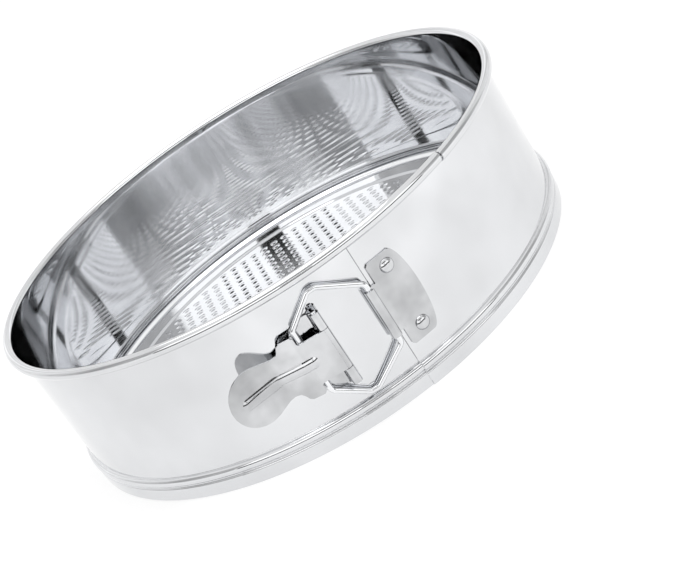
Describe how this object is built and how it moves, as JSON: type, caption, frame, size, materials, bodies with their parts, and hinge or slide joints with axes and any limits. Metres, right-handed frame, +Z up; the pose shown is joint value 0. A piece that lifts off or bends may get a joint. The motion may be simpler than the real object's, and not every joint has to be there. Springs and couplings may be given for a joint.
{
  "type": "springform pan",
  "caption": "Round springform baking pan: split tinplate band with rolled rim, loose dimpled base and an over-centre lever latch with a wire link.",
  "frame": {"origin": "on the pan's axis in the plane of its foot ring", "axes": "+Z up along the pan's axis; -Y through the band's seam and latch; -X to the lever's side, +X to the hook's side"},
  "size_m": [0.2288, 0.2296, 0.067],
  "materials": {
    "tinplate_band": "bright rolled tinplate, near mirror",
    "tinplate_base": "bright tinplate pressed with a grid of dimples",
    "plated_fittings": "pressed steel, bright plated",
    "plated_wire": "drawn steel wire, bright plated",
    "rivet_heads": "domed steel rivets, polished"
  },
  "bodies": {
    "root": {"band_left_half": "tinplate_band", "base_plate": "tinplate_base", "hinge_bracket": "plated_fittings", "hinge_pin": "plated_wire", "bracket_rivet_upper": "rivet_heads", "bracket_rivet_lower": "rivet_heads"},
    "latch_lever": {"lever": "plated_fittings"},
    "opening_band": {"band_right_half": "tinplate_band", "hook_plate": "plated_fittings", "hook_rivet_upper": "rivet_heads", "hook_rivet_lower": "rivet_heads"},
    "link": {"wire_link": "plated_wire"}
  },
  "joints": [
    {"name": "lever_swing", "type": "hinge", "parent": "root", "child": "latch_lever", "pos_m": [-0.02223, -0.11171, 0.0355], "axis": [0, 0, 1], "range_deg": [0, 120]},
    {"name": "band_spring", "type": "hinge", "parent": "root", "child": "opening_band", "pos_m": [0, 0.11425, 0.0355], "axis": [0, 0, 1], "range_deg": [0, 1.8]},
    {"name": "link_tilt", "type": "hinge", "parent": "opening_band", "child": "link", "pos_m": [-0.00202, -0.11338, 0.0355], "axis": [0, 0, 1], "range_deg": [0, 24]}
  ],
  "couplings": [
    {"joint": "band_spring", "follows": "lever_swing", "ratio": 0.015},
    {"joint": "link_tilt", "follows": "lever_swing", "ratio": 0.2}
  ]
}
